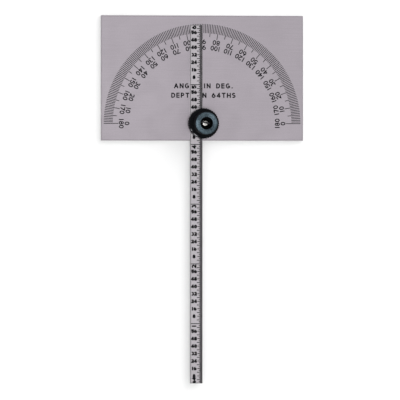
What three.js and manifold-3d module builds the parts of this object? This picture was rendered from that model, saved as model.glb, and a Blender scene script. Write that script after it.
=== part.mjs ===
// Square-head protractor with a sliding depth rule, in millimetres, +Z up.
// The tool lies on its back. The origin is on the pivot axis, at the back face of the head,
// and +Y runs along the rule towards its 6 inch end.
import * as THREE from "three";
import { mergeVertices } from "three/addons/utils/BufferGeometryUtils.js";
import Module from "manifold-3d";

// Driving dimensions
const INCH = 25.4;
const ROUND_STEPS = 64;
const RUNNING_GAP = 0.05; // between faces that slide on each other

const HEAD_WIDTH = 87;
const HEAD_ABOVE_PIVOT = 45.9;
const HEAD_BELOW_PIVOT = 7.3;
const HEAD_THICKNESS = 1.5;
const HEAD_EDGE_BREAK = 0.25; // chamfer round both faces

const RULE_LENGTH = 6 * INCH;
const RULE_WIDTH = 5.3;
const RULE_THICKNESS = 0.9;
const RULE_EDGE_BREAK = 0.1;
const RULE_BELOW_PIVOT = 110.5;

const FLUSH_HEAD_RADIUS = 5.1;
const FLUSH_HEAD_THICKNESS = 0.75;
const FLUSH_HEAD_EDGE_BREAK = 0.1;
const FLUSH_HEAD_CLEARANCE = 0.1; // in the head's counterbore, all round and above
const JOURNAL_RADIUS = 4;
const JOURNAL_CLEARANCE = 0.08;
const NECK_RADIUS = 3.2;

const THREAD_PITCH = INCH / 40;
const SHANK_RADIUS = 1.55;
const SHANK_CLEARANCE = 0.07;
const TIP_RADIUS = 1.75; // splayed over, so that the nut can't come off
const TIP_HEIGHT = 0.7;
const TIP_FLAT_RADIUS = 1.15;
const SLOT_WIDTH = 0.7; // for a screwdriver, across the tip
const SLOT_DEPTH = 0.5;
const SLOT_OFFSET = 0.28; // milled a little off the axis
const SLOT_TURN = -13; // degrees from +X

const WASHER_THICKNESS = 0.5;
const KEEPER_RADIUS = 5.95;
const LIP_THICKNESS = 0.5;
const LIP_HALF_LENGTH = 2;
const LIP_ABOVE_HEAD = 0.25;

const SPRING_OUTER_RADIUS = 5;
const SPRING_INNER_RADIUS = 2.5;
const SPRING_SPACE = 0.45; // its height when the nut is tight
const SPRING_STRIP = 0.22;
const SPRING_WAVES = 3;

const THRUST_RADIUS = 5.1;

const NUT_RADIUS = 6.45;
const NUT_HEIGHT = 10.3;
const NUT_FLANGE_HEIGHT = 3.7;
const NUT_CHAMFER = 0.3;
const NUT_FLOOR = 1; // depth of the recess in its underside
const NUT_RECESS_RADIUS = 5.4;
const NUT_BOSS_RADIUS = 4.9;
const NUT_BOSS_FILLET = 0.4;
const NUT_BOSS_CHAMFER = 0.12;
const NUT_COUNTERBORE_RADIUS = 2.6;
const NUT_COUNTERBORE_DEPTH = 4.6;
const KNURL_TEETH = 40;
const KNURL_DEPTH = 0.22;

// Heights of the stack, from the back face up
const RULE_BOTTOM = HEAD_THICKNESS + RUNNING_GAP;
const RULE_TOP = RULE_BOTTOM + RULE_THICKNESS;
const KEEPER_BOTTOM = RULE_TOP + RUNNING_GAP;
const KEEPER_TOP = KEEPER_BOTTOM + WASHER_THICKNESS;
const SPRING_BOTTOM = KEEPER_TOP + RUNNING_GAP;
const THRUST_BOTTOM = SPRING_BOTTOM + SPRING_SPACE + RUNNING_GAP;
const THRUST_TOP = THRUST_BOTTOM + WASHER_THICKNESS;
const NUT_WEB_BOTTOM = THRUST_TOP + RUNNING_GAP;
const NUT_BOTTOM = NUT_WEB_BOTTOM - NUT_FLOOR;
const NUT_TOP = NUT_BOTTOM + NUT_HEIGHT;
const NUT_WEB_TOP = NUT_TOP - NUT_COUNTERBORE_DEPTH;
const NUT_LIFT = THREAD_PITCH; // one turn from tight to fully slack
const TIP_BOTTOM = NUT_WEB_TOP + NUT_LIFT + 0.15;
const TIP_TOP = TIP_BOTTOM + TIP_HEIGHT;

// The graduated edge of the rule lies on the pivot's centre line.
const RULE_RIGHT = -RUNNING_GAP;
const RULE_LEFT = RULE_RIGHT - RULE_WIDTH;

const wasm = await Module();
wasm.setup();

// A closed geometry as a solid that can be cut and joined.
function solidOf(geometry) {
  const bare = geometry.index ? geometry.toNonIndexed() : geometry.clone();
  bare.deleteAttribute("normal");
  bare.deleteAttribute("uv");
  const merged = mergeVertices(bare, 1e-4);
  return new wasm.Manifold(
    new wasm.Mesh({
      numProp: 3,
      vertProperties: new Float32Array(merged.attributes.position.array),
      triVerts: new Uint32Array(merged.index.array),
    }),
  );
}

function geometryOf(solid) {
  const mesh = solid.getMesh();
  const geometry = new THREE.BufferGeometry();
  geometry.setAttribute("position", new THREE.BufferAttribute(mesh.vertProperties, 3));
  geometry.setIndex(new THREE.BufferAttribute(mesh.triVerts, 1));
  geometry.computeVertexNormals();
  return geometry;
}

function piece(name, solid, material) {
  const mesh = new THREE.Mesh(geometryOf(solid), material);
  mesh.name = name;
  return mesh;
}

// A solid of revolution about the Z axis, from [radius, height] points
// that run anticlockwise with the radius to the right and the height up.
function turned(points, steps = ROUND_STEPS) {
  const profile = points.map(([radius, height]) => new THREE.Vector2(radius, height));
  const geometry = new THREE.LatheGeometry(profile, steps);
  geometry.rotateX(Math.PI / 2);
  return solidOf(geometry);
}

// A ring about the Z axis with square edges.
function ring(innerRadius, outerRadius, bottom, top) {
  return turned([
    [innerRadius, bottom],
    [outerRadius, bottom],
    [outerRadius, top],
    [innerRadius, top],
    [innerRadius, bottom],
  ]);
}

function box(left, right, front, back, bottom, top) {
  const geometry = new THREE.BoxGeometry(right - left, back - front, top - bottom);
  geometry.translate((left + right) / 2, (front + back) / 2, (bottom + top) / 2);
  return solidOf(geometry);
}

// A flat strip of metal with a small chamfer round both faces.
function stamping(left, right, front, back, bottom, thickness, edgeBreak) {
  const outline = new THREE.Shape();
  outline.moveTo(left, front);
  outline.lineTo(right, front);
  outline.lineTo(right, back);
  outline.lineTo(left, back);
  outline.closePath();
  const geometry = new THREE.ExtrudeGeometry(outline, {
    depth: thickness - 2 * edgeBreak,
    bevelThickness: edgeBreak,
    bevelSize: edgeBreak,
    bevelOffset: -edgeBreak,
    bevelSegments: 1,
  });
  geometry.translate(0, 0, bottom + edgeBreak);
  return solidOf(geometry);
}

// The head: a flat plate with a stepped pivot hole that takes the stud's flush head.
function headPlate() {
  const side = HEAD_WIDTH / 2;
  const front = -HEAD_BELOW_PIVOT;
  const blank = stamping(-side, side, front, HEAD_ABOVE_PIVOT, 0, HEAD_THICKNESS, HEAD_EDGE_BREAK);
  const counterboreTop = FLUSH_HEAD_THICKNESS + FLUSH_HEAD_CLEARANCE;
  const counterboreRadius = FLUSH_HEAD_RADIUS + FLUSH_HEAD_CLEARANCE;
  const holeRadius = JOURNAL_RADIUS + JOURNAL_CLEARANCE;
  const hole = turned([
    [0, -1],
    [counterboreRadius, -1],
    [counterboreRadius, counterboreTop],
    [holeRadius, counterboreTop],
    [holeRadius, HEAD_THICKNESS + 1],
    [0, HEAD_THICKNESS + 1],
  ]);
  return blank.subtract(hole);
}

// The clamp stud: flush head, journal in the plate, a half neck beside the rule, and a screwed
// shank with its tip splayed. The rule's channel is milled away up to the centre line.
function clampStud() {
  const neckTop = RULE_TOP - RUNNING_GAP;
  const journalTop = HEAD_THICKNESS - RUNNING_GAP;
  const blank = turned([
    [0, 0],
    [FLUSH_HEAD_RADIUS - FLUSH_HEAD_EDGE_BREAK, 0],
    [FLUSH_HEAD_RADIUS, FLUSH_HEAD_EDGE_BREAK],
    [FLUSH_HEAD_RADIUS, FLUSH_HEAD_THICKNESS],
    [JOURNAL_RADIUS, FLUSH_HEAD_THICKNESS],
    [JOURNAL_RADIUS, journalTop],
    [NECK_RADIUS, journalTop],
    [NECK_RADIUS, neckTop],
    [SHANK_RADIUS, neckTop],
    [SHANK_RADIUS, TIP_BOTTOM],
    [TIP_RADIUS, TIP_BOTTOM],
    [TIP_RADIUS, TIP_BOTTOM + TIP_HEIGHT / 2],
    [TIP_FLAT_RADIUS, TIP_TOP],
    [0, TIP_TOP],
  ]);
  const reach = 2 * NECK_RADIUS;
  const channel = box(-reach, 0, -reach, reach, journalTop, KEEPER_BOTTOM);
  const slotFront = SLOT_OFFSET - SLOT_WIDTH / 2;
  const slot = box(-reach, reach, slotFront, slotFront + SLOT_WIDTH, TIP_TOP - SLOT_DEPTH, TIP_TOP + 1);
  return blank.subtract(channel).subtract(slot.rotate([0, 0, SLOT_TURN]));
}

function rule() {
  const front = -RULE_BELOW_PIVOT;
  const back = front + RULE_LENGTH;
  return stamping(RULE_LEFT, RULE_RIGHT, front, back, RULE_BOTTOM, RULE_THICKNESS, RULE_EDGE_BREAK);
}

// The keeper washer bears on the rule, and its folded lip guides the rule's plain edge.
function keeperWasher() {
  const disc = ring(SHANK_RADIUS + SHANK_CLEARANCE, KEEPER_RADIUS, KEEPER_BOTTOM, KEEPER_TOP);
  const lipRight = RULE_LEFT - RUNNING_GAP;
  const lip = box(
    lipRight - LIP_THICKNESS,
    lipRight,
    -LIP_HALF_LENGTH,
    LIP_HALF_LENGTH,
    HEAD_THICKNESS + LIP_ABOVE_HEAD,
    (KEEPER_BOTTOM + KEEPER_TOP) / 2,
  );
  return disc.add(lip);
}

// The wave spring: a flat ring whose strip rises and falls round the axis.
function waveSpring() {
  const profile = [
    [SPRING_INNER_RADIUS, 0],
    [SPRING_OUTER_RADIUS, 0],
    [SPRING_OUTER_RADIUS, SPRING_STRIP],
    [SPRING_INNER_RADIUS, SPRING_STRIP],
    [SPRING_INNER_RADIUS, 0],
  ].map(([radius, height]) => new THREE.Vector2(radius, height));
  const geometry = new THREE.LatheGeometry(profile, ROUND_STEPS);
  geometry.rotateX(Math.PI / 2);
  const rise = (SPRING_SPACE - SPRING_STRIP) / 2;
  const position = geometry.attributes.position;
  for (let i = 0; i < position.count; i++) {
    const angle = Math.atan2(position.getY(i), position.getX(i));
    const lift = rise * (1 + Math.sin(SPRING_WAVES * angle));
    position.setZ(i, position.getZ(i) + SPRING_BOTTOM + lift);
  }
  return solidOf(geometry);
}

function thrustWasher() {
  return ring(SHANK_RADIUS + SHANK_CLEARANCE, THRUST_RADIUS, THRUST_BOTTOM, THRUST_TOP);
}

// A prism with a saw-tooth outline, as tall as the nut.
function knurlPrism() {
  const outline = new THREE.Shape();
  for (let i = 0; i < 2 * KNURL_TEETH; i++) {
    const radius = i % 2 ? NUT_RADIUS - KNURL_DEPTH : NUT_RADIUS;
    const angle = (i * Math.PI) / KNURL_TEETH;
    const point = [radius * Math.cos(angle), radius * Math.sin(angle)];
    if (i === 0) outline.moveTo(...point);
    else outline.lineTo(...point);
  }
  outline.closePath();
  const geometry = new THREE.ExtrudeGeometry(outline, { depth: NUT_HEIGHT + 2, bevelEnabled: false });
  geometry.translate(0, 0, NUT_BOTTOM - 1);
  return solidOf(geometry);
}

// The clamp nut: a knurled flange, a smooth boss, a deep counterbore round the stud's tip,
// and a recess in its underside for the spring and the thrust washer.
function clampNut() {
  const boreRadius = SHANK_RADIUS + SHANK_CLEARANCE;
  const flangeTop = NUT_BOTTOM + NUT_FLANGE_HEIGHT;
  const body = turned(
    [
      [boreRadius, NUT_WEB_BOTTOM],
      [NUT_RECESS_RADIUS, NUT_WEB_BOTTOM],
      [NUT_RECESS_RADIUS, NUT_BOTTOM],
      [NUT_RADIUS - NUT_CHAMFER, NUT_BOTTOM],
      [NUT_RADIUS, NUT_BOTTOM + NUT_CHAMFER],
      [NUT_RADIUS, flangeTop - NUT_CHAMFER],
      [NUT_RADIUS - NUT_CHAMFER, flangeTop],
      [NUT_BOSS_RADIUS + NUT_BOSS_FILLET, flangeTop],
      [NUT_BOSS_RADIUS, flangeTop + NUT_BOSS_FILLET],
      [NUT_BOSS_RADIUS, NUT_TOP - NUT_BOSS_CHAMFER],
      [NUT_BOSS_RADIUS - NUT_BOSS_CHAMFER, NUT_TOP],
      [NUT_COUNTERBORE_RADIUS, NUT_TOP],
      [NUT_COUNTERBORE_RADIUS, NUT_WEB_TOP],
      [boreRadius, NUT_WEB_TOP],
      [boreRadius, NUT_WEB_BOTTOM],
    ],
    2 * KNURL_TEETH,
  );
  return body.intersect(knurlPrism());
}

function metal(color, roughness) {
  return new THREE.MeshStandardMaterial({ color, roughness, metalness: 1 });
}

const satinChrome = metal(0xada6ad, 0.45);
const brightRule = metal(0xb8b4b8, 0.4);
const plainSteel = metal(0xc4c2c0, 0.3);
const springSteel = metal(0x8c8a86, 0.35);
const blackOxide = metal(0x15171a, 0.5);

const protractor = new THREE.Group();
protractor.add(piece("head_plate", headPlate(), satinChrome));
protractor.add(piece("clamp_stud", clampStud(), plainSteel));
protractor.add(piece("rule", rule(), brightRule));
protractor.add(piece("keeper_washer", keeperWasher(), plainSteel));
protractor.add(piece("wave_spring", waveSpring(), springSteel));
protractor.add(piece("thrust_washer", thrustWasher(), plainSteel));
protractor.add(piece("clamp_nut", clampNut(), blackOxide));

export default protractor;
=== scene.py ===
"""Looks of the square-head protractor: its scales, its clamp, its finishes, the light and the camera.

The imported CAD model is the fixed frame. Lengths are metres, +Y runs along the rule towards its
6 inch end, and +Z comes out of the graduated face.
"""

import itertools
import math

import bmesh
import bpy
from mathutils import Matrix, Vector


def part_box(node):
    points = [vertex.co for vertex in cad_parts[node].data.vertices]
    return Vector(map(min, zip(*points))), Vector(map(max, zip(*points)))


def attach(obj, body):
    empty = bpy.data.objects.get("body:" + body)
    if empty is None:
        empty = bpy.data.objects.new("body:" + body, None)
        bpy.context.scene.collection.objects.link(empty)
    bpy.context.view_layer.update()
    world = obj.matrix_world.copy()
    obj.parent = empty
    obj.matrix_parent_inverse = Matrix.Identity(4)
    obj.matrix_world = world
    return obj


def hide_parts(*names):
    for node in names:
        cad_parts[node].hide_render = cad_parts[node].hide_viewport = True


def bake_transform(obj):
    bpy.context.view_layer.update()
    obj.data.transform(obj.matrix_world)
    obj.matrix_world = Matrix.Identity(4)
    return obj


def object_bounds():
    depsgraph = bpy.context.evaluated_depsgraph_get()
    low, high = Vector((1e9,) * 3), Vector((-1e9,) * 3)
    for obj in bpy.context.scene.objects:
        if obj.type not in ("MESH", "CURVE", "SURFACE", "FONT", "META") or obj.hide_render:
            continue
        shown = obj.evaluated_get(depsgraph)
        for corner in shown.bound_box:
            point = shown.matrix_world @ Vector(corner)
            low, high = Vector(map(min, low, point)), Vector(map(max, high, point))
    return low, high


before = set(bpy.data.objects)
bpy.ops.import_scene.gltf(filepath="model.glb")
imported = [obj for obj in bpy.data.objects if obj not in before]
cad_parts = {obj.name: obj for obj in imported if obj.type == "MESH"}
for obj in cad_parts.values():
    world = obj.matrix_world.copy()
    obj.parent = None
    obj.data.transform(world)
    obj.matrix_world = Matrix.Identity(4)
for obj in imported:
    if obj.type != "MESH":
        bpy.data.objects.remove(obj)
cad_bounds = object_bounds()

MM = 0.001
INCH = 0.0254
TURN = 2 * math.pi

# Lowest and highest corners of the CAD nodes
HEAD_LOW, HEAD_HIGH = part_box("head_plate")
RULE_LOW, RULE_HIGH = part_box("rule")
STUD_LOW, STUD_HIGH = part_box("clamp_stud")
KEEPER_LOW, KEEPER_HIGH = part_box("keeper_washer")
SPRING_LOW, SPRING_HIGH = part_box("wave_spring")
THRUST_LOW, THRUST_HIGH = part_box("thrust_washer")
NUT_LOW, NUT_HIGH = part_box("clamp_nut")

# Scales
INK_THICKNESS = 0.012 * MM
INK_LAYER = 0.0015 * MM  # added to each further stroke of a glyph, so that crossing tops aren't level
DEGREE_RADIUS = 42.35 * MM
DEGREE_LINE = 0.28 * MM
DEGREE_LENGTHS = {1: 3.9 * MM, 5: 5.4 * MM, 10: 6.3 * MM}
LABEL_RADII = (34.8 * MM, 32.35 * MM)  # outer row, inner row
LABEL_HEIGHT = 1.7 * MM
LABEL_STROKE = 0.41 * MM
LABEL_SPREAD = 0.05  # added to the gap between letters, over their height
CAPTIONS = (  # words, height above the pivot, width
    ("ANGLE IN DEG.", 16 * MM, 24.9 * MM),
    ("DEPTH IN 64THS", 12 * MM, 27.2 * MM),
)
CAPTION_X = 0.5 * MM
CAPTION_STROKE = 0.5 * MM

RULE_INCHES = 6
RULE_LINES = {64: 0.32 * MM, 32: 0.33 * MM, 16: 0.33 * MM, 8: 0.33 * MM}
RULE_LENGTHS = {64: 1.1 * MM, 32: 1.5 * MM, 16: 2.3 * MM, 8: 2.1 * MM}
RULE_INCH_LINE = 0.33 * MM
RULE_EDGE = 0.1 * MM  # chamfer along the rule's edges
RULE_LABEL_X = -3.7 * MM
RULE_LABEL_HEIGHT = 1.05 * MM
RULE_LABEL_STROKE = 0.61 * MM
RULE_LABEL_SPREAD = 0.27
INCH_LABEL_HEIGHT = 1.45 * MM
INCH_LABEL_STROKE = 0.6 * MM
INCH_LABEL_DROP = 1.05 * MM  # from an inch line to the middle of its numeral
END_LABEL_HEIGHT = 1.35 * MM  # of the 64 above the zero end

# Clamp nut
NUT_RADIUS = NUT_HIGH.x
NUT_FLANGE_TOP = NUT_LOW.z + 3.7 * MM
NUT_FLANGE_CHAMFER = 0.3 * MM
NUT_TOP_CHAMFER_WIDTH = 0.35 * MM
NUT_BOSS_RADIUS = 4.9 * MM
NUT_BOSS_CHAMFER = 0.12 * MM
NUT_RECESS_RADIUS = 5.4 * MM
NUT_WEB_BOTTOM = NUT_LOW.z + 1 * MM
NUT_WEB_TOP = NUT_HIGH.z - 4.6 * MM
NUT_COUNTERBORE_RADIUS = 2.6 * MM
NUT_FACE_RADIUS = 4.7 * MM  # of the blued end face, inside a black margin
NUT_KNOCK = Vector((-4.4 * MM, -4.1 * MM, NUT_FLANGE_TOP))  # where the flange's corner is knocked
BORE_RADIUS = 1.62 * MM
BORE_CHAMFER = 0.15 * MM
KNURL_TEETH = 40
KNURL_DEPTH = 0.2 * MM
KNURL_STEPS = 12  # round one tooth

# Stud
RUNNING_GAP = 0.05 * MM
STUD_STEPS = 72  # round the stud
STUD_HEAD_TOP = STUD_LOW.z + 0.75 * MM
JOURNAL_RADIUS = 4 * MM
NECK_RADIUS = 3.2 * MM
SHANK_RADIUS = 1.55 * MM
SHANK_ROWS = 80
THREAD_PITCH = INCH / 40
THREAD_DEPTH = 0.3 * MM
TIP_BOTTOM = STUD_HIGH.z - 0.7 * MM
TIP_RADIUS = 1.75 * MM
TIP_FLAT_RADIUS = 1.1 * MM
SLOT_WIDTH = 0.72 * MM
SLOT_DEPTH = 0.5 * MM
SLOT_TURN = math.radians(-13)
SLOT_OFFSET = 0.28 * MM  # the slot was milled a little off centre

# Washers and spring
WASHER_STEPS = 128
WASHER_EDGE = 0.06 * MM  # rounding of a washer's four edges
LIP_THICKNESS = 0.5 * MM
LIP_HALF_LENGTH = 2 * MM
SPRING_STEPS = 144
SPRING_INNER_RADIUS = 2.5 * MM
SPRING_STRIP = 0.22 * MM
SPRING_WAVES = 3

# View, light and floor
VIEW_TILT = math.radians(9)  # the view comes a little from the left of straight down
VIEW_SIDE = Vector((-math.sin(VIEW_TILT), 0, math.cos(VIEW_TILT)))
VIEW_DISTANCE = 3.0
VIEW_WIDTH = 170.1 * MM  # what the frame spans at the object
VIEW_CENTRE = Vector((-0.98 * MM, -32.53 * MM, HEAD_HIGH.z))
SKY_HORIZON_TOP = 0.3  # sine of the height up to which the sky is as bright as at the horizon
FLOOR_HALF = 3.0
FLOOR_GAP = 0.02 * MM  # between the floor and the object

SHARP_ANGLE = math.radians(32)  # between two faces, past which their edge stays sharp


# ---------------------------------------------------------------- stroke font

ARC_STEP = 20  # degrees
LETTER_GAP = 0.25  # over the letters' height
SQUARE_END = 0.4  # how far a straight stroke runs past its ends, over its width


def arc(u, v, ru, rv, start, end):
    """Points of an elliptical arc about (u, v), with its angles in degrees."""
    steps = max(2, math.ceil(abs(end - start) / ARC_STEP))
    angles = [math.radians(start + (end - start) * i / steps) for i in range(steps + 1)]
    return [(u + ru * math.cos(a), v + rv * math.sin(a)) for a in angles]


def loop(u, v, ru, rv):
    """Points of a closed ellipse. Its first point isn't repeated."""
    return arc(u, v, ru, rv, 0, 360 - ARC_STEP)


def line(u0, v0, u1, v1):
    return [(u0, v0), (u1, v1)]


# Each glyph is its width, its open strokes and its closed loops. They are drawn about u = 0, from
# v = 0 to v = 1, in parts of the letter's height.
GLYPHS = {
    "0": (0.64, [], [loop(0, 0.5, 0.32, 0.5)]),
    "1": (0.34, [line(0, 0, 0, 1)], []),
    "2": (0.70, [arc(0, 0.7, 0.33, 0.3, 165, -40) + [(-0.33, 0)], line(-0.33, 0, 0.36, 0)], []),
    "3": (0.68, [arc(0, 0.76, 0.28, 0.24, 150, -90), arc(0, 0.27, 0.34, 0.27, 90, -150)], []),
    "4": (0.72, [line(0.16, 0, 0.16, 1), line(0.16, 1, -0.36, 0.28), line(-0.36, 0.28, 0.36, 0.28)], []),
    "5": (
        0.68,
        [line(0.3, 1, -0.24, 1), line(-0.24, 1, -0.29, 0.5), arc(0, 0.32, 0.34, 0.32, 145, -150)],
        [],
    ),
    "6": (0.68, [arc(0.26, 0.33, 0.6, 0.67, 180, 105)], [loop(0, 0.31, 0.34, 0.31)]),
    "7": (0.68, [line(-0.34, 1, 0.34, 1), line(0.34, 1, -0.12, 0)], []),
    "8": (0.68, [], [loop(0, 0.75, 0.27, 0.25), loop(0, 0.26, 0.34, 0.26)]),
    "9": (0.68, [arc(-0.26, 0.67, 0.6, 0.67, 0, -75)], [loop(0, 0.69, 0.34, 0.31)]),
    "A": (0.84, [line(-0.42, 0, 0, 1), line(0, 1, 0.42, 0), line(-0.27, 0.34, 0.27, 0.34)], []),
    "D": (
        0.70,
        [line(-0.35, 0, -0.35, 1), [(-0.35, 1)] + arc(-0.05, 0.5, 0.4, 0.5, 90, -90) + [(-0.35, 0)]],
        [],
    ),
    "E": (0.56, [line(-0.28, 0, -0.28, 1)] + [line(-0.28, v, 0.28, v) for v in (0, 0.52, 1)], []),
    "G": (
        0.80,
        [arc(0, 0.5, 0.42, 0.5, 50, 325), line(0.05, 0.44, 0.4, 0.44), line(0.38, 0.44, 0.38, 0.16)],
        [],
    ),
    "I": (0.1, [line(0, 0, 0, 1)], []),
    "H": (0.72, [line(-0.36, 0, -0.36, 1), line(0.36, 0, 0.36, 1), line(-0.36, 0.5, 0.36, 0.5)], []),
    "L": (0.56, [line(-0.28, 1, -0.28, 0), line(-0.28, 0, 0.28, 0)], []),
    "N": (0.72, [line(-0.36, 0, -0.36, 1), line(-0.36, 1, 0.36, 0), line(0.36, 0, 0.36, 1)], []),
    "P": (
        0.62,
        [line(-0.3, 0, -0.3, 1), [(-0.3, 1)] + arc(0, 0.73, 0.31, 0.27, 90, -90) + [(-0.3, 0.46)]],
        [],
    ),
    "S": (0.64, [arc(0, 0.75, 0.3, 0.25, 30, 270) + arc(0, 0.25, 0.33, 0.25, 90, -150)], []),
    "T": (0.72, [line(-0.36, 1, 0.36, 1), line(0, 1, 0, 0)], []),
    ".": (0.1, [line(0, 0, 0, 0.05)], []),
    " ": (0.5, [], []),
}


class Ink:
    """Collects thin closed solids that lie on one flat face, such as filled lines and numerals."""

    def __init__(self, height):
        self.height = height
        self.verts = []
        self.faces = []

    def ribbon(self, points, width, closed=False, layer=0):
        """A strip of constant width that follows (x, y) points. Strips that cross are on different
        layers, a hair apart."""
        low = self.height
        high = low + INK_THICKNESS + layer * INK_LAYER
        first, count = len(self.verts), len(points)
        for i, point in enumerate(points):
            before = points[i - 1] if i or closed else point
            after = points[(i + 1) % count] if i < count - 1 or closed else point
            along = (after - before).normalized() * width / 2
            left = point + Vector((-along.y, along.x))
            right = point + Vector((along.y, -along.x))
            self.verts += [(*left, low), (*right, low), (*right, high), (*left, high)]
        for i in range(count if closed else count - 1):
            a, b = first + 4 * i, first + 4 * ((i + 1) % count)
            self.faces += [(a + k, b + k, b + (k + 1) % 4, a + (k + 1) % 4) for k in range(4)]
        if not closed:
            last = first + 4 * (count - 1)
            self.faces += [tuple(range(first, first + 4)), tuple(range(last + 3, last - 1, -1))]

    def bar(self, start, end, width):
        self.ribbon([Vector(start), Vector(end)], width)

    def text(self, words, centre, up, height, stroke, spread=0.0):
        """Words in the stroke font, with their middle at centre and their tops towards up."""
        right = Vector((up.y, -up.x))
        widths = [GLYPHS[c][0] + LETTER_GAP + spread for c in words]
        place = (LETTER_GAP + spread - sum(widths)) / 2
        for letter, width in zip(words, widths):
            glyph_width, strokes, loops = GLYPHS[letter]
            middle = place + glyph_width / 2
            paths = [(stroke_path, False) for stroke_path in strokes] + [(ring, True) for ring in loops]
            for layer, (path, closed) in enumerate(paths):
                points = [centre + (right * (u + middle) + up * (v - 0.5)) * height for u, v in path]
                if len(points) == 2:  # the square ends fill the corners between straight strokes
                    reach = (points[1] - points[0]).normalized() * stroke * SQUARE_END
                    points = [points[0] - reach, points[1] + reach]
                self.ribbon(points, stroke, closed, layer)
            place += width


# ---------------------------------------------------------------- meshes


def make_object(name, verts, faces, smoothed=False):
    mesh = bpy.data.meshes.new(name)
    mesh.from_pydata([tuple(v) for v in verts], [], faces)
    mesh.validate()
    obj = bpy.data.objects.new(name, mesh)
    bpy.context.scene.collection.objects.link(obj)
    if smoothed:
        smooth(obj)
    return obj


def smooth(obj):
    """Smooth shading between sharp edges."""
    work = bmesh.new()
    work.from_mesh(obj.data)
    for face in work.faces:
        face.smooth = True
    for edge in work.edges:
        edge.smooth = len(edge.link_faces) != 2 or edge.calc_face_angle(0) < SHARP_ANGLE
    work.to_mesh(obj.data)
    work.free()


def rounded(corners, steps=4):
    """A profile of (radius, height) points, from corners of (radius, height, rounding)."""
    count = len(corners)
    profile = []
    for i, (r, z, rounding) in enumerate(corners):
        here = Vector((r, z))
        if not rounding:
            profile.append(here)
            continue
        before, after = (Vector(corners[j % count][:2]) - here for j in (i - 1, i + 1))
        start = here + before.normalized() * rounding
        end = here + after.normalized() * rounding
        for k in range(steps + 1):
            t = k / steps
            profile.append(start * (1 - t) ** 2 + here * 2 * t * (1 - t) + end * t * t)
    return profile


def revolve(profile, steps, shape=None, closed=True):
    """Vertices and faces of a profile turned about the Z axis. A profile runs anticlockwise with
    its radius to the right. shape(radius, height, angle) may move each point."""
    verts, rings = [], []
    for r, z in profile:
        if r == 0:
            rings.append([len(verts)] * steps)
            verts.append((0, 0, z))
            continue
        rings.append(list(range(len(verts), len(verts) + steps)))
        for i in range(steps):
            angle = TURN * i / steps
            radius, height = shape(r, z, angle) if shape else (r, z)
            verts.append((radius * math.cos(angle), radius * math.sin(angle), height))
    above = rings[1:] + rings[:1] if closed else rings[1:]
    faces = []
    for low, high in zip(rings, above):
        for i in range(steps):
            j = (i + 1) % steps
            face = dict.fromkeys((low[i], low[j], high[j], high[i]))
            if len(face) > 2:
                faces.append(tuple(face))
    return verts, faces


def cut(obj, low, high, turn=0.0):
    """Cuts a box, turned about the pivot axis, out of an object for good."""
    turned = Matrix.Rotation(turn, 3, "Z")
    corners = [turned @ Vector(corner) for corner in itertools.product(*zip(low, high))]
    sides = [(0, 1, 3, 2), (4, 6, 7, 5), (0, 4, 5, 1), (2, 3, 7, 6), (0, 2, 6, 4), (1, 5, 7, 3)]
    tool = make_object("cutter", corners, sides)
    modifier = obj.modifiers.new("cut", "BOOLEAN")
    modifier.operation = "DIFFERENCE"
    modifier.solver = "EXACT"
    modifier.object = tool
    evaluated = obj.evaluated_get(bpy.context.evaluated_depsgraph_get())
    done = bpy.data.meshes.new_from_object(evaluated)
    obj.modifiers.clear()
    old, obj.data = obj.data, done
    done.name = obj.name
    bpy.data.meshes.remove(old)
    bpy.data.objects.remove(tool)


def finish_piece(obj, material, body=None, stands_for=None):
    """Gives a piece its finish, the body that it rides on and the CAD node that it stands for."""
    obj.data.materials.clear()
    obj.data.materials.append(material)
    if body:
        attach(obj, body)
    if stands_for:
        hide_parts(stands_for)
    return obj


# ---------------------------------------------------------------- finishes


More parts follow.
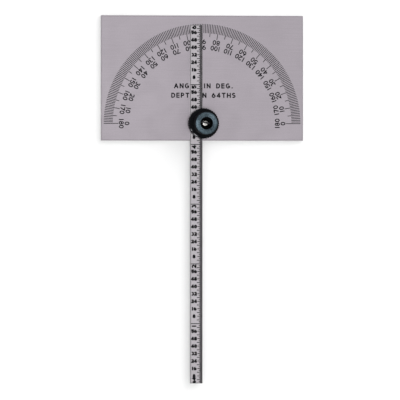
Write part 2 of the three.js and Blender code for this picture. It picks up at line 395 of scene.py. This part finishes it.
class Finish:
    """A Principled material whose patterns come from the object's own coordinates, in metres."""

    def __init__(self, name, metallic, specular=0.5):
        self.material = bpy.data.materials.new(name)
        self.material.use_nodes = True
        self.nodes = self.material.node_tree.nodes
        self.links = self.material.node_tree.links
        self.shader = self.nodes["Principled BSDF"]
        self.put(self.shader.inputs["Metallic"], metallic)
        self.put(self.shader.inputs["Specular IOR Level"], specular)
        self.place = self.nodes.new("ShaderNodeTexCoord").outputs["Object"]

    def put(self, socket, value):
        """Sets an input, or links it where the value is another node's output."""
        if isinstance(value, bpy.types.NodeSocket):
            self.links.new(value, socket)
        else:
            socket.default_value = value

    def noise(self, frequency, detail):
        """Noise from 0 to 1. frequency is one number, or three along X, Y and Z, in cycles a metre."""
        if not hasattr(frequency, "__len__"):
            frequency = (frequency,) * 3
        mapping = self.nodes.new("ShaderNodeMapping")
        self.put(mapping.inputs["Vector"], self.place)
        self.put(mapping.inputs["Scale"], frequency)
        texture = self.nodes.new("ShaderNodeTexNoise")
        self.put(texture.inputs["Vector"], mapping.outputs["Vector"])
        self.put(texture.inputs["Scale"], 1.0)
        self.put(texture.inputs["Detail"], detail)
        return texture.outputs["Fac"]

    def math(self, operation, a, b=0.0):
        node = self.nodes.new("ShaderNodeMath")
        node.operation = operation
        self.put(node.inputs[0], a)
        self.put(node.inputs[1], b)
        return node.outputs["Value"]

    def between(self, value, low, high, out_low=0.0, out_high=1.0):
        """value taken smoothly from low..high to out_low..out_high, and held outside."""
        node = self.nodes.new("ShaderNodeMapRange")
        node.interpolation_type = "SMOOTHSTEP"
        numbers = {"From Min": low, "From Max": high, "To Min": out_low, "To Max": out_high}
        for name, number in numbers.items():
            self.put(node.inputs[name], number)
        self.put(node.inputs["Value"], value)
        return node.outputs["Result"]

    def mix(self, factor, a, b):
        """Colour a where factor is 0 and colour b where it is 1."""
        node = self.nodes.new("ShaderNodeMix")
        node.data_type = "RGBA"
        self.put(node.inputs["Factor"], factor)
        self.put(node.inputs["A"], a if isinstance(a, bpy.types.NodeSocket) else (*a, 1))
        self.put(node.inputs["B"], b if isinstance(b, bpy.types.NodeSocket) else (*b, 1))
        return node.outputs["Result"]

    def axes(self):
        node = self.nodes.new("ShaderNodeSeparateXYZ")
        self.put(node.inputs["Vector"], self.place)
        return node.outputs["X"], node.outputs["Y"], node.outputs["Z"]

    def radius(self):
        """Distance from the pivot axis."""
        x, y, _ = self.axes()
        squares = self.total((x, x), (y, y))
        return self.math("SQRT", squares)

    def rings(self, frequency):
        """Turning marks round the pivot axis, from 0 to 1, in cycles a metre outwards."""
        texture = self.nodes.new("ShaderNodeTexNoise")
        texture.noise_dimensions = "1D"
        self.put(texture.inputs["W"], self.math("MULTIPLY", self.radius(), frequency))
        self.put(texture.inputs["Scale"], 1.0)
        self.put(texture.inputs["Detail"], 2.0)
        return texture.outputs["Fac"]

    def product(self, first, *others):
        """Patterns multiplied together."""
        for pattern in others:
            first = self.math("MULTIPLY", first, pattern)
        return first

    def total(self, *terms):
        """The sum of patterns, each given with its weight."""
        sum_so_far = 0.0
        for pattern, weight in terms:
            sum_so_far = self.math("ADD", self.math("MULTIPLY", pattern, weight), sum_so_far)
        return sum_so_far

    def inside_of(self, low, high):
        """Distance from the nearest side of an upright box, whose corners are low and high."""
        x, y, _ = self.axes()
        gap = self.math("SUBTRACT", x, low.x)
        gap = self.math("MINIMUM", gap, self.math("SUBTRACT", high.x, x))
        gap = self.math("MINIMUM", gap, self.math("SUBTRACT", y, low.y))
        return self.math("MINIMUM", gap, self.math("SUBTRACT", high.y, y))

    def away_from(self, point):
        """Distance from a point."""
        node = self.nodes.new("ShaderNodeVectorMath")
        node.operation = "DISTANCE"
        self.put(node.inputs[0], self.place)
        self.put(node.inputs[1], point)
        return node.outputs["Value"]

    def bump(self, height, distance):
        node = self.nodes.new("ShaderNodeBump")
        self.put(node.inputs["Height"], height)
        self.put(node.inputs["Distance"], distance)
        self.put(self.shader.inputs["Normal"], node.outputs["Normal"])

    def done(self, color, roughness):
        self.put(self.shader.inputs["Base Color"], color)
        self.put(self.shader.inputs["Roughness"], roughness)
        return self.material


def scaled(color, factor):
    return tuple(c * factor for c in color)


def satin_chrome(name, color, corners, brushing, edge, rim, line):
    """Chrome over a brushed surface: grain, faint clouds, handling marks and bright sheared sides, with
    painted light along its ragged edges. corners are the piece's lowest and highest, and brushing is
    the grain's frequency along X, Y and Z. The painted band is about twice edge wide: rim scales the
    colour in its outer half, a painted reflection, and line in its inner half, a painted shade line."""
    finish = Finish(name, 1.0)
    grain = finish.noise(brushing, 3)
    speckle = finish.noise(2600, 1)
    clouds = finish.noise(45, 3)
    tone = finish.total((grain, 0.45), (speckle, 0.3), (clouds, 0.25))
    body = finish.mix(finish.between(tone, 0.3, 0.7), scaled(color, 0.92), scaled(color, 1.08))
    gap = finish.inside_of(*corners)
    # Painted light along the edges: painted reflection outside, painted shade line inside
    ragged_gap = finish.total((gap, 1.0), (finish.noise(700, 3), 1.2 * edge))
    painted_shade_line = finish.between(ragged_gap, edge * 2.2, edge * 2.8, 1.0, 0.0)
    painted_rim_reflection = finish.between(ragged_gap, edge * 1.2, edge * 1.6, 1.0, 0.0)
    side = finish.between(gap, 0.02 * MM, 0.05 * MM, 1.0, 0.0)
    smudges = finish.between(finish.noise(110, 4), 0.45, 0.7)
    roughness = finish.math("ADD", 0.366, finish.total((grain, 0.12), (smudges, 0.035), (side, -0.16)))
    finish.bump(grain, 0.004 * MM)
    # The painted shade line, then the painted reflection at the very edge
    body = finish.mix(painted_shade_line, body, scaled(color, line))
    body = finish.mix(painted_rim_reflection, body, scaled(color, rim))
    return finish.done(finish.mix(side, body, (0.6, 0.6, 0.6)), roughness)


def scale_ink():
    """Black filling of etched lines, a little uneven and dusty."""
    finish = Finish("scale_ink", 0.0, 0.1)
    patches = finish.noise(1400, 3)
    color = finish.mix(finish.between(patches, 0.4, 0.75), (0.002, 0.002, 0.003), (0.012, 0.011, 0.013))
    return finish.done(color, finish.between(patches, 0.3, 0.7, 0.5, 0.7))


def black_oxide():
    """Oil-blackened steel. The boss's end face is blued metal with turning rings, and the flange's
    top corner has been knocked bright in one place."""
    finish = Finish("black_oxide_steel", 0.0, 0.04)
    radius = finish.radius()
    _, _, z = finish.axes()
    black = finish.mix(finish.noise(900, 4), (0.0012, 0.0014, 0.002), (0.006, 0.0065, 0.008))

    # The knock in the flange's corner
    outside = finish.between(radius, NUT_RADIUS - 0.55 * MM, NUT_RADIUS - 0.4 * MM)
    top = finish.between(z, NUT_FLANGE_TOP - NUT_FLANGE_CHAMFER, NUT_FLANGE_TOP - 0.15 * MM)
    near = finish.between(finish.away_from(NUT_KNOCK), 1.5 * MM, 2.5 * MM, 1.0, 0.0)
    flecks = finish.between(finish.noise(1300, 2), 0.4, 0.55)
    knocked = finish.product(outside, top, near, flecks)
    black = finish.mix(knocked, black, (0.42, 0.42, 0.44))

    # The end face, up to a ragged black margin
    rings = finish.rings(5200)
    grain = finish.noise(2300, 2)
    tone = finish.total((rings, 0.4), (finish.noise(330, 4), 0.3), (grain, 0.3))
    face = finish.mix(finish.between(tone, 0.4, 0.62), (0.014, 0.021, 0.027), (0.102, 0.14, 0.165))
    ragged = finish.total((radius, 1.0), (grain, 0.3 * MM))
    inside = finish.between(ragged, NUT_FACE_RADIUS, NUT_FACE_RADIUS + 0.2 * MM, 1.0, 0.0)
    level = finish.between(z, NUT_HIGH.z - NUT_BOSS_CHAMFER, NUT_HIGH.z - 0.02 * MM)
    on_face = finish.product(inside, level)

    # Turning marks stretch the highlight outwards
    tangent = finish.nodes.new("ShaderNodeTangent")
    tangent.direction_type = "RADIAL"
    tangent.axis = "Z"
    finish.put(finish.shader.inputs["Tangent"], tangent.outputs["Tangent"])
    finish.put(finish.shader.inputs["Anisotropic Rotation"], 0.25)
    finish.put(finish.shader.inputs["Anisotropic"], finish.math("MULTIPLY", on_face, 0.7))
    finish.put(finish.shader.inputs["Metallic"], finish.total((on_face, 0.9), (knocked, 1.0)))
    finish.bump(finish.product(rings, on_face), 0.006 * MM)
    return finish.done(finish.mix(on_face, black, face), finish.between(on_face, 0, 1, 0.6, 0.34))


def turned_steel(name, color, roughness, ring_frequency=4200, recess_shade=None):
    """Bright turned steel with fine tool rings and oily clouds. The last argument, if given, is the two
    heights between which the steel is painted nearly black: painted shade in the recess inside the nut."""
    finish = Finish(name, 1.0)
    rings = finish.rings(ring_frequency)
    clouds = finish.noise(420, 4)
    tone = finish.total((rings, 0.5), (clouds, 0.5))
    finish.bump(rings, 0.003 * MM)
    body = finish.mix(finish.between(tone, 0.35, 0.65), scaled(color, 0.86), scaled(color, 1.1))
    # Painted shade: the steel goes nearly black between the two heights, round the stud inside the nut
    if recess_shade:
        _, _, z = finish.axes()
        bottom, top = recess_shade
        height = finish.total((z, 1.0), (clouds, 0.06 * MM))
        above = finish.between(height, bottom - 0.1 * MM, bottom, 0.0, 0.96)
        below = finish.between(height, top, top + 0.1 * MM, 1.0, 0.0)
        body = finish.mix(finish.product(above, below), body, (0.008, 0.008, 0.01))
    return finish.done(body, finish.between(clouds, 0.3, 0.7, roughness - 0.05, roughness + 0.1))


# ---------------------------------------------------------------- the head and its scale


def degree_labels(ink):
    """Numerals every 10 degrees, counted from both ends, with their tops towards the pivot."""
    for degrees in range(0, 181, 10):
        angle = math.radians(degrees)
        out = Vector((math.cos(angle), math.sin(angle)))
        for radius, number in zip(LABEL_RADII, (degrees, 180 - degrees)):
            ink.text(str(number), out * radius, -out, LABEL_HEIGHT, LABEL_STROKE, LABEL_SPREAD)


def degree_scale():
    """One line a degree over the upper half turn, longer every 5 and 10, and two rows of numerals."""
    ink = Ink(HEAD_HIGH.z)
    for degrees in range(181):
        angle = math.radians(degrees)
        out = Vector((math.cos(angle), math.sin(angle)))
        step = max(s for s in DEGREE_LENGTHS if degrees % s == 0)
        ink.bar(out * (DEGREE_RADIUS - DEGREE_LENGTHS[step]), out * DEGREE_RADIUS, DEGREE_LINE)
    degree_labels(ink)
    return make_object("degree_scale_marks", ink.verts, ink.faces)


def captions():
    """Two generic lines that say what the scales read, between the numerals and the pivot."""
    ink = Ink(HEAD_HIGH.z)
    up = Vector((0, 1))
    for words, height, width in CAPTIONS:
        natural = sum(GLYPHS[c][0] + LETTER_GAP for c in words) - LETTER_GAP
        spread = (width / LABEL_HEIGHT - natural) / (len(words) - 1)
        ink.text(words, Vector((CAPTION_X, height)), up, LABEL_HEIGHT, CAPTION_STROKE, spread)
    return make_object("caption_marks", ink.verts, ink.faces)


# ---------------------------------------------------------------- the rule's scale


def rule_divisions(ink):
    """64ths of an inch from the right-hand edge, longer at 32nds, 16ths and 8ths. The inch lines
    run right across."""
    right = RULE_HIGH.x - RULE_EDGE
    left = RULE_LOW.x + RULE_EDGE
    for count in range(1, RULE_INCHES * 64):
        y = RULE_LOW.y + count * INCH / 64
        if count % 64 == 0:
            ink.bar((left, y), (right, y), RULE_INCH_LINE)
            continue
        finest = min(part for part in RULE_LENGTHS if count % (64 // part) == 0)
        ink.bar((right - RULE_LENGTHS[finest], y), (right, y), RULE_LINES[finest])


def rule_numerals(ink):
    """64ths at each 8th, the inches turned on their sides below the inch lines, and the divisor."""
    up = Vector((0, 1))
    turned_up = Vector((-1, 0))
    for inch in range(RULE_INCHES):
        for eighth in range(1, 8):
            y = RULE_LOW.y + (inch + eighth / 8) * INCH
            place = Vector((RULE_LABEL_X, y))
            ink.text(str(8 * eighth), place, up, RULE_LABEL_HEIGHT, RULE_LABEL_STROKE, RULE_LABEL_SPREAD)
        place = Vector((RULE_LABEL_X, RULE_LOW.y + (inch + 1) * INCH - INCH_LABEL_DROP))
        ink.text(str(inch + 1), place, turned_up, INCH_LABEL_HEIGHT, INCH_LABEL_STROKE)
    place = Vector((RULE_LABEL_X, RULE_LOW.y + END_LABEL_HEIGHT))
    ink.text("64", place, turned_up, RULE_LABEL_HEIGHT, RULE_LABEL_STROKE, RULE_LABEL_SPREAD)


def rule_scale():
    ink = Ink(RULE_HIGH.z)
    rule_divisions(ink)
    rule_numerals(ink)
    return make_object("rule_scale_marks", ink.verts, ink.faces)


# ---------------------------------------------------------------- the clamp


def knurled(radius, height, angle):
    """Straight V grooves with narrow flats at their bottoms and between them. They run out into the
    flange's chamfers."""
    phase = angle / TURN * KNURL_TEETH % 1
    groove = min(1, max(0, 1.15 - abs(2 * phase - 1) * 1.3))
    return min(radius, NUT_RADIUS - KNURL_DEPTH * groove), height


def nut_profile():
    return rounded(
        [
            (BORE_RADIUS + BORE_CHAMFER, NUT_WEB_BOTTOM, 0),
            (NUT_RECESS_RADIUS, NUT_WEB_BOTTOM, 0.15 * MM),
            (NUT_RECESS_RADIUS, NUT_LOW.z, 0.1 * MM),
            (NUT_RADIUS - NUT_FLANGE_CHAMFER, NUT_LOW.z, 0.08 * MM),
            (NUT_RADIUS, NUT_LOW.z + NUT_FLANGE_CHAMFER, 0.1 * MM),
            (NUT_RADIUS, NUT_FLANGE_TOP - NUT_FLANGE_CHAMFER, 0.1 * MM),
            (NUT_RADIUS - NUT_TOP_CHAMFER_WIDTH, NUT_FLANGE_TOP, 0.1 * MM),
            (NUT_BOSS_RADIUS, NUT_FLANGE_TOP, 0.4 * MM),
            (NUT_BOSS_RADIUS, NUT_HIGH.z - NUT_BOSS_CHAMFER, 0.06 * MM),
            (NUT_BOSS_RADIUS - NUT_BOSS_CHAMFER, NUT_HIGH.z, 0.05 * MM),
            (NUT_COUNTERBORE_RADIUS + NUT_BOSS_CHAMFER, NUT_HIGH.z, 0.04 * MM),
            (NUT_COUNTERBORE_RADIUS, NUT_HIGH.z - NUT_BOSS_CHAMFER, 0.04 * MM),
            (NUT_COUNTERBORE_RADIUS, NUT_WEB_TOP, 0.2 * MM),
            (BORE_RADIUS + BORE_CHAMFER, NUT_WEB_TOP, 0),
            (BORE_RADIUS, NUT_WEB_TOP - BORE_CHAMFER, 0),
            (BORE_RADIUS, NUT_WEB_BOTTOM + BORE_CHAMFER, 0),
        ]
    )


def clamp_nut():
    """A knurled flange under a plain boss, with a counterbore round the stud's tip."""
    verts, faces = revolve(nut_profile(), KNURL_TEETH * KNURL_STEPS, knurled)
    return make_object("knurled_clamp_nut", verts, faces, smoothed=True)


def threaded(radius, height, angle):
    """A single right-hand thread on the shank, run out at both ends."""
    start = KEEPER_LOW.z + 0.1 * MM
    end = TIP_BOTTOM - 0.2 * MM
    on_shank = abs(radius - SHANK_RADIUS) < 1e-4 * MM
    if not on_shank or not start < height < end:
        return radius, height
    runout = min(1, (height - start) / THREAD_PITCH, (end - height) / THREAD_PITCH)
    phase = ((height - start) / THREAD_PITCH - angle / TURN) % 1
    return radius - THREAD_DEPTH * runout * abs(2 * phase - 1), height


def stud_profile():
    journal_top = HEAD_HIGH.z - RUNNING_GAP
    neck_top = RULE_HIGH.z - RUNNING_GAP
    shank_length = TIP_BOTTOM - neck_top
    lower = rounded(
        [
            (0, STUD_LOW.z, 0),
            (STUD_HIGH.x, STUD_LOW.z, 0.12 * MM),
            (STUD_HIGH.x, STUD_HEAD_TOP, 0.05 * MM),
            (JOURNAL_RADIUS, STUD_HEAD_TOP, 0.05 * MM),
            (JOURNAL_RADIUS, journal_top, 0.06 * MM),
            (NECK_RADIUS, journal_top, 0.05 * MM),
            (NECK_RADIUS, neck_top, 0.06 * MM),
            (SHANK_RADIUS, neck_top, 0),
        ]
    )
    rows = range(1, SHANK_ROWS + 1)
    shank = [Vector((SHANK_RADIUS, neck_top + shank_length * row / SHANK_ROWS)) for row in rows]
    tip = rounded(
        [
            (TIP_RADIUS, TIP_BOTTOM, 0.06 * MM),
            (TIP_RADIUS, TIP_BOTTOM + 0.32 * MM, 0.15 * MM),
            (TIP_FLAT_RADIUS, STUD_HIGH.z, 0.2 * MM),
            (0, STUD_HIGH.z, 0),
        ]
    )
    return lower + shank + tip


def clamp_stud():
    """The stud, with the rule's channel milled to the centre line and a slot across its tip."""
    verts, faces = revolve(stud_profile(), STUD_STEPS, threaded, closed=False)
    stud = make_object("clamp_stud_turned", verts, faces)
    reach = 8 * MM  # past the stud on every side
    cut(stud, (-reach, -reach, HEAD_HIGH.z - RUNNING_GAP), (0, reach, KEEPER_LOW.z))
    slot_low = (-reach, SLOT_OFFSET - SLOT_WIDTH / 2, STUD_HIGH.z - SLOT_DEPTH)
    slot_high = (reach, SLOT_OFFSET + SLOT_WIDTH / 2, STUD_HIGH.z + reach)
    cut(stud, slot_low, slot_high, SLOT_TURN)
    smooth(stud)
    return stud


def washer_shape(inner, outer, bottom, top, steps, shape=None):
    """A flat ring with its edges broken. shape is as in revolve."""
    places = ((inner, bottom), (outer, bottom), (outer, top), (inner, top))
    return revolve(rounded([(*place, WASHER_EDGE) for place in places], 3), steps, shape)


def washer(name, inner, outer, bottom, top):
    verts, faces = washer_shape(inner, outer, bottom, top, WASHER_STEPS)
    return make_object(name, verts, faces, smoothed=True)


def keeper_washer():
    """A washer with a lip bent down beside the rule's plain edge."""
    bottom = RULE_HIGH.z + RUNNING_GAP
    disc = washer("keeper_washer_pressed", BORE_RADIUS, KEEPER_HIGH.x, bottom, KEEPER_HIGH.z)
    inside = RULE_LOW.x - RUNNING_GAP
    outside = inside - LIP_THICKNESS
    top = KEEPER_HIGH.z - WASHER_EDGE
    outline = rounded(
        [
            (outside, KEEPER_LOW.z, 0.1 * MM),
            (inside, KEEPER_LOW.z, 0.05 * MM),
            (inside, top, 0),
            (outside, top, 0.2 * MM),
        ]
    )
    count = len(outline)
    verts = [(p.x, y, p.y) for y in (-LIP_HALF_LENGTH, LIP_HALF_LENGTH) for p in outline]
    faces = [tuple(range(count)), tuple(reversed(range(count, 2 * count)))]
    faces += [(i, i + count, (i + 1) % count + count, (i + 1) % count) for i in range(count)]
    lip = make_object("lip", verts, faces, smoothed=True)
    joined = bmesh.new()
    joined.from_mesh(disc.data)
    joined.from_mesh(lip.data)
    bmesh.ops.recalc_face_normals(joined, faces=joined.faces)
    joined.to_mesh(disc.data)
    joined.free()
    bpy.data.objects.remove(lip)
    return disc


def wave_spring():
    """A ring of strip that rises and falls round the axis."""
    strip_top = SPRING_LOW.z + SPRING_STRIP
    rise = (SPRING_HIGH.z - strip_top) / 2

    def wave(radius, height, angle):
        return radius, height + rise * (1 + math.sin(SPRING_WAVES * angle))

    radii = (SPRING_INNER_RADIUS, SPRING_HIGH.x)
    verts, faces = washer_shape(*radii, SPRING_LOW.z, strip_top, SPRING_STEPS, wave)
    return make_object("wave_spring_strip", verts, faces, smoothed=True)


def thrust_washer():
    return washer("thrust_washer_pressed", BORE_RADIUS, THRUST_HIGH.x, THRUST_LOW.z, THRUST_HIGH.z)


# ---------------------------------------------------------------- the stage


def camera():
    """A long lens from far off, so that there is hardly any perspective."""
    data = bpy.data.cameras.new("camera")
    data.lens = data.sensor_width * VIEW_DISTANCE / VIEW_WIDTH
    data.clip_end = 100
    obj = bpy.data.objects.new("camera", data)
    bpy.context.scene.collection.objects.link(obj)
    obj.location = VIEW_CENTRE + VIEW_DISTANCE * VIEW_SIDE
    obj.rotation_euler = (0, -VIEW_TILT, 0)
    bpy.context.scene.camera = obj


def area_light(name, place, target, size, energy):
    """A round light that faces its target."""
    data = bpy.data.lights.new(name, "AREA")
    data.shape = "DISK"
    data.size = size
    data.energy = energy
    obj = bpy.data.objects.new(name, data)
    bpy.context.scene.collection.objects.link(obj)
    obj.location = place
    obj.rotation_euler = (Vector(target) - Vector(place)).to_track_quat("-Z", "Y").to_euler()


def sky(horizon, zenith):
    """A plain white studio, whose brightness changes from the horizon to the zenith."""
    world = bpy.data.worlds.new("studio")
    world.use_nodes = True
    bpy.context.scene.world = world
    nodes, links = world.node_tree.nodes, world.node_tree.links
    place = nodes.new("ShaderNodeTexCoord")
    split = nodes.new("ShaderNodeSeparateXYZ")
    shade = nodes.new("ShaderNodeMapRange")
    links.new(place.outputs["Generated"], split.inputs["Vector"])
    links.new(split.outputs["Z"], shade.inputs["Value"])
    shade.interpolation_type = "SMOOTHSTEP"
    shade.inputs["From Min"].default_value = SKY_HORIZON_TOP
    shade.inputs["To Min"].default_value = horizon
    shade.inputs["To Max"].default_value = zenith
    links.new(shade.outputs["Result"], nodes["Background"].inputs["Color"])


def floor():
    """White paper, a hair below the object."""
    finish = Finish("floor_paper", 0.0, 0.0)
    tone = finish.mix(finish.noise(6, 2), (0.935, 0.935, 0.935), (0.955, 0.955, 0.955))
    height = cad_bounds[0].z - FLOOR_GAP
    around = ((-1, -1), (1, -1), (1, 1), (-1, 1))
    corners = [(x * FLOOR_HALF, y * FLOOR_HALF, height) for x, y in around]
    obj = make_object("floor", corners, [(0, 1, 2, 3)])
    obj.data.materials.append(finish.done(tone, 0.9))


# ---------------------------------------------------------------- assembly


def build():
    """The head and the rule keep their CAD shape. The clamp's pieces are replaced by finer ones."""
    head_chrome = satin_chrome(
        "satin_chrome_head",
        (0.292, 0.267, 0.292),
        corners=(HEAD_LOW, HEAD_HIGH),
        brushing=(60, 4500, 60),
        edge=0.2 * MM,
        rim=1.4,
        line=0.7,
    )
    rule_chrome = satin_chrome(
        "satin_chrome_rule",
        (0.336, 0.318, 0.336),
        corners=(RULE_LOW, RULE_HIGH),
        brushing=(4500, 60, 60),
        edge=0.16 * MM,
        rim=0.4,
        line=0.4,
    )
    steel = turned_steel("plain_steel", (0.55, 0.54, 0.53), roughness=0.26)
    # Painted shade of the recess: the stud is nearly black inside the nut, slot included
    recess_shade = (THRUST_HIGH.z, STUD_HIGH.z - 0.1 * MM)
    stud_steel = turned_steel("plain_steel_stud", (0.31, 0.305, 0.295), roughness=0.25, recess_shade=recess_shade)
    spring_steel = turned_steel("spring_steel", (0.3, 0.29, 0.28), roughness=0.32, ring_frequency=1800)
    ink = scale_ink()
    for name, material in (("head_plate", head_chrome), ("rule", rule_chrome)):
        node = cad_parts[name]
        node.data.materials.clear()
        node.data.materials.append(material)
    finish_piece(degree_scale(), ink, "head")
    finish_piece(captions(), ink, "head")
    finish_piece(rule_scale(), ink, "blade")
    finish_piece(clamp_nut(), black_oxide(), "nut", "clamp_nut")
    finish_piece(clamp_stud(), stud_steel, "swivel", "clamp_stud")
    finish_piece(keeper_washer(), steel, "swivel", "keeper_washer")
    finish_piece(thrust_washer(), steel, "thrust", "thrust_washer")
    spring = finish_piece(wave_spring(), spring_steel, None, "wave_spring")
    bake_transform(spring)


build()
floor()
sky(horizon=1.1, zenith=0.45)
# The key light is low, for wide soft shadows. In this view the chrome reflects the front light.
area_light("key", (1.2, 1.2, 0.72), (0, -0.03, 0), size=1.6, energy=15)
area_light("front", VIEW_CENTRE + Vector((-0.9, -0.8, 8.9)), VIEW_CENTRE, size=3.9, energy=230)
camera()
bpy.context.scene.view_settings.view_transform = "Standard"
